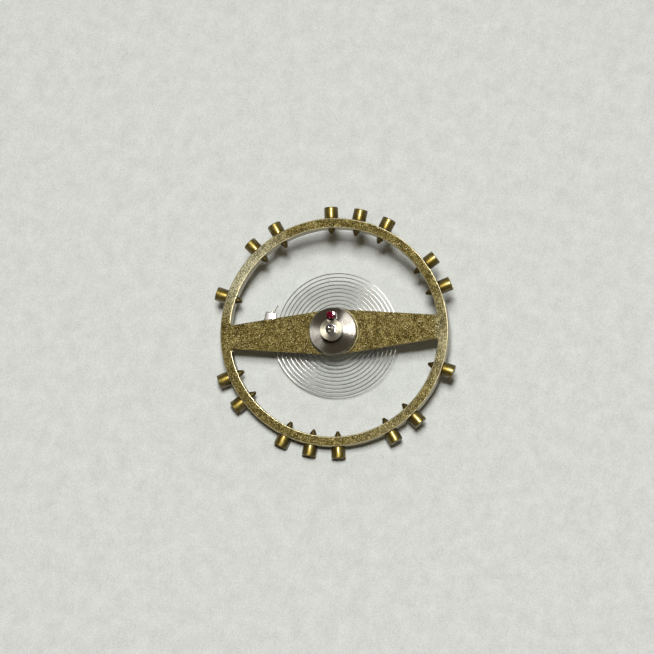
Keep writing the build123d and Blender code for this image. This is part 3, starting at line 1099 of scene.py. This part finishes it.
def collet_pin():
    """The taper pin that wedges the spring in the collet."""
    middle = place(collet_hole_distance + pin_offset, collet_spoke, spring_middle)
    chord = 2 * math.sqrt(collet_radius ** 2 - collet_hole_distance ** 2)
    return lying_cylinder("collet_pin_body", pin_thick_radius, middle, collet_spoke + 90,
                          chord + 2 * pin_end_length, pin_thin_radius)


# Stage: paper, lights, world and camera

def photo_axes():
    """The directions to the right, up and back to the camera in the photograph's view."""
    lean = math.radians(camera_elevation)
    back = place(math.cos(lean), camera_azimuth - 90, math.sin(lean))
    side = place(1, camera_up_angle).cross(back).normalized()
    return side, back.cross(side), back


def paper_slope():
    """How steeply the paper rises from the pivot's tip until it meets the wheel. What lies
    beside the staff doesn't count."""
    rise = place(1, paper_rise_angle)
    slopes = []
    for node in frame["nodes"].values():
        for vertex in node.data.vertices:
            along = vertex.co.dot(rise)
            if along > paper_contact_least:
                slopes.append(vertex.co.z / along)
    return math.atan(min(slopes))


def floor():
    """The sheet of paper under the balance."""
    corner = paper_half_width
    corners = [(-corner, -corner), (corner, -corner), (corner, corner), (-corner, corner)]
    mesh = bmesh.new()
    mesh.faces.new([mesh.verts.new((x, y, 0)) for x, y in corners])
    sheet = finished("paper", mesh)
    lean = Matrix.Rotation(-paper_slope(), 4, "Y")
    sheet.matrix_world = Matrix.Rotation(math.radians(paper_rise_angle), 4, "Z") @ lean
    sheet.data.materials.append(paper())


def softbox(name, high_angle, power):
    """An area light above the photograph's top edge. It reaches from the window's low angle off
    the camera's line to a higher one, and sideways as far as the window does."""
    side, up, back = photo_axes()
    middle_angle = math.radians((window_low_angle + high_angle) / 2)
    half_angle = math.radians((high_angle - window_low_angle) / 2)
    left, right = (lamp_distance * math.tan(math.radians(angle)) for angle in window_side_angles)
    light = bpy.data.lights.new(name, "AREA")
    light.shape = "RECTANGLE"
    light.size = right - left
    light.size_y = 2 * lamp_distance * math.tan(half_angle)
    light.energy = power
    light.color = window_colour
    lamp = bpy.data.objects.new(name, light)
    bpy.context.scene.collection.objects.link(lamp)
    towards = back * math.cos(middle_angle) + up * math.sin(middle_angle)
    rise = up * math.cos(middle_angle) - back * math.sin(middle_angle)
    turn = Matrix((side, rise, towards)).transposed().to_4x4()
    spot = towards * lamp_distance + side * (left + right) / 2
    lamp.matrix_world = Matrix.Translation(spot) @ turn
    lamp.visible_camera = False


def lights():
    """The window light of the photograph, brighter towards its near edge."""
    softbox("window", window_high_angle, window_power)
    softbox("near_edge", near_edge_angle, near_edge_power)


def world():
    """A dim room with a pale band along the horizon."""
    room = bpy.data.worlds.new("room")
    bpy.context.scene.world = room
    room.use_nodes = True
    tree = room.node_tree
    heading = tree.nodes.new("ShaderNodeTexCoord").outputs["Generated"]
    colour = ramp(tree, component(tree, heading, "Z"), [
        (0.00, backdrop_colour),
        (0.10, (0.46, 0.47, 0.44)),
        (0.28, (0.080, 0.052, 0.020)),
        (1.00, (0.028, 0.018, 0.008)),
    ])
    tree.links.new(colour, tree.nodes["Background"].inputs["Color"])


def camera():
    """The photograph's view: its scale holds at the top of the ring."""
    data = bpy.data.cameras.new("camera")
    eye = bpy.data.objects.new("camera", data)
    bpy.context.scene.collection.objects.link(eye)
    bpy.context.scene.camera = eye
    half_frame = photo_scale * photo_width / 2
    data.lens = data.sensor_width / 2 * camera_distance / half_frame
    data.clip_start = camera_clip_start
    data.clip_end = camera_clip_end
    side, up, back = photo_axes()
    shift_x = (photo_centre[0] - photo_width / 2) * photo_scale
    shift_y = (photo_centre[1] - photo_width / 2) * photo_scale
    aim = Vector((0, 0, ring_top)) - side * shift_x + up * shift_y
    turn = Matrix((side, up, back)).transposed().to_4x4()
    eye.matrix_world = Matrix.Translation(aim + back * camera_distance) @ turn


# The assembly

dressed(balance_wheel(), "balance", "balance_wheel", ring_brass())
balance_screws(screw_brass())
staff_steel = polished_metal("staff_steel", (0.50, 0.50, 0.52), roughness=0.12)
staff = lathe("balance_staff_body", staff_outline())
dressed(staff, "balance", "balance_staff", staff_steel)
# Painted shade: the roller's level faces are painted nearly black for the dark room they reflect
roller_steel = lapped_steel("roller_steel", (0.07, 0.06, 0.04), roughness=0.22,
                            line_share=0.12, tarnish=0.6)
dressed(impulse_roller(), "balance", "impulse_roller", roller_steel)
safety_steel = lapped_steel("safety_roller_steel", (0.27, 0.25, 0.19), roughness=0.42,
                            line_share=0.12, tarnish=0.0)
dressed(safety_roller(), "balance", "safety_roller", safety_steel,
        roller_edge_round)
dressed(impulse_jewel(), "balance", "impulse_jewel", ruby(), roller_edge_round)

collet_brass = polished_metal("collet_brass", (0.66, 0.54, 0.26), roughness=0.25)
dressed(collet(), "balance", "collet", collet_brass, collet_edge_round)
pin_brass = polished_metal("pin_brass", (0.70, 0.57, 0.28), roughness=0.25)
dressed(collet_pin(), "balance", "collet_pin", pin_brass)
stud_steel = polished_metal("stud_steel", (0.80, 0.79, 0.76), roughness=0.25)
dressed(hairspring_stud(), "stud", "hairspring_stud", stud_steel, stud_edge_round)
dressed(stud_pin(), "stud", "stud_pin", pin_brass)

spring, bend_shares = hairspring()
spring_steel = lapped_steel("spring_steel", (0.43, 0.415, 0.375), roughness=0.20,
                            line_share=0.85, tarnish=0.35)
spring.data.materials.append(spring_steel)
wind(spring, bend_shares)
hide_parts("hairspring")

floor()
lights()
world()
camera()
bpy.context.scene.view_settings.view_transform = "Standard"
